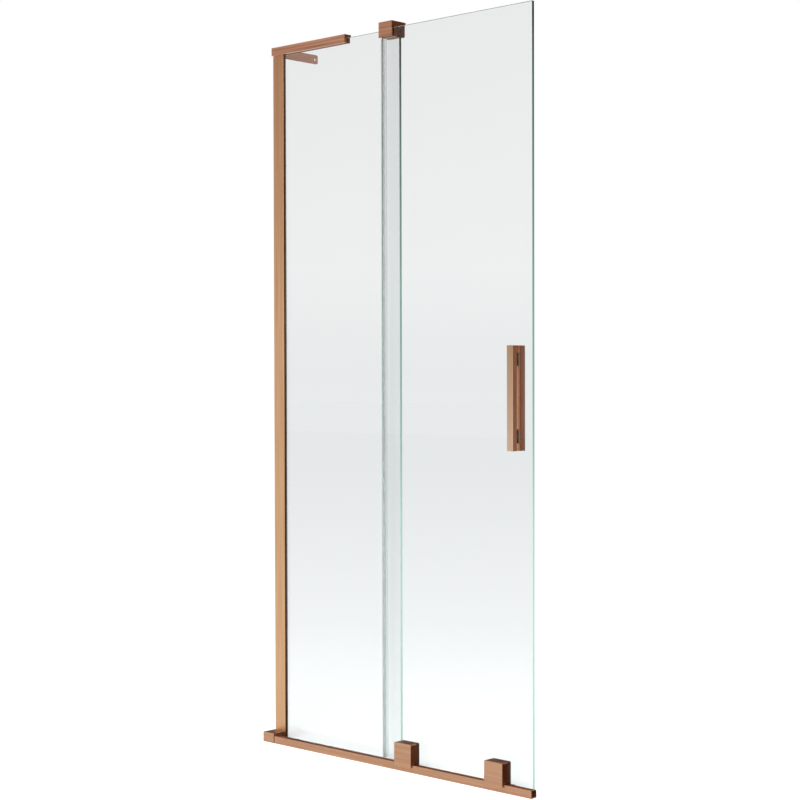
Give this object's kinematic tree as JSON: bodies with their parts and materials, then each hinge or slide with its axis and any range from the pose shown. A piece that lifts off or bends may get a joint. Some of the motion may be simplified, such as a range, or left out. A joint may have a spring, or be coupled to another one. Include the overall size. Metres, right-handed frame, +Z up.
{
  "type": "sliding bath screen",
  "caption": "Frameless-look sliding bath screen: a fixed glass pane on the wall and a moving pane that rolls along a rail on the bath rim, in brushed copper.",
  "frame": {"origin": "wall plane at the height of the bath rim, in the middle plane of the fixed pane: the lower end of the back of the wall channel", "axes": "+X from the wall along the bath rim, -Y toward the rail and the carriages, +Z up"},
  "size_m": [0.75, 0.1743, 1.514],
  "materials": {
    "copper_profile": "brushed copper, satin",
    "clear_glass": "clear, green edges",
    "grey_gasket": "matt",
    "clear_seal": "translucent",
    "black_nylon": "matt",
    "white_nylon": "matt",
    "stainless_steel": "satin"
  },
  "bodies": {
    "fixed_frame": {"wall_channel": "copper_profile", "wall_profile": "copper_profile", "profile_gasket_front": "grey_gasket", "profile_gasket_rear": "grey_gasket", "profile_lock_screws": "stainless_steel", "fixed_glass": "clear_glass", "fixed_glass_seal": "clear_seal", "top_bar": "copper_profile", "top_bar_liner": "grey_gasket", "top_bar_grub_screws": "stainless_steel", "wall_leg": "copper_profile", "leg_joint_screws": "stainless_steel", "clamp_body": "copper_profile", "clamp_guide_liner": "white_nylon", "clamp_glass_pads": "grey_gasket", "clamp_grub_screws": "stainless_steel", "bottom_rail": "copper_profile", "rail_end_cap": "copper_profile", "wall_foot": "copper_profile", "rail_joint_screw": "stainless_steel", "rail_stop_open": "white_nylon", "rail_stop_closed": "white_nylon", "rail_stop_screws": "stainless_steel"},
    "sliding_panel": {"carriage_axles": "stainless_steel", "carriage_body_left": "black_nylon", "carriage_body_right": "black_nylon", "carriage_bushes": "white_nylon", "carriage_cover_left": "copper_profile", "carriage_cover_right": "copper_profile", "carriage_glass_pads": "grey_gasket", "carriage_glides": "white_nylon", "carriage_rear_plates": "copper_profile", "carriage_screws": "stainless_steel", "drip_seal": "clear_seal", "handle_bushes": "white_nylon", "handle_front_bar": "copper_profile", "handle_pads": "grey_gasket", "handle_rear_bar": "copper_profile", "handle_studs": "stainless_steel", "overlap_seal": "clear_seal", "sliding_glass": "clear_glass"},
    "roller_left": {"roller_tyre_left": "white_nylon", "roller_bearing_left": "stainless_steel"},
    "roller_right": {"roller_tyre_right": "white_nylon", "roller_bearing_right": "stainless_steel"}
  },
  "joints": [
    {"name": "panel_slide", "type": "slide", "parent": "fixed_frame", "child": "sliding_panel", "axis": [1, 0, 0], "range_m": [-0.3, 0]},
    {"name": "roller_left_spin", "type": "hinge", "parent": "sliding_panel", "child": "roller_left", "pos_m": [0.4199, -0.035, 0.0264], "axis": [0, 1, 0], "continuous": true},
    {"name": "roller_right_spin", "type": "hinge", "parent": "sliding_panel", "child": "roller_right", "pos_m": [0.6586, -0.035, 0.0264], "axis": [0, 1, 0], "continuous": true}
  ],
  "couplings": [
    {"joint": "roller_left_spin", "follows": "panel_slide", "rad_per_m": 83.333},
    {"joint": "roller_right_spin", "follows": "panel_slide", "rad_per_m": 83.333}
  ]
}
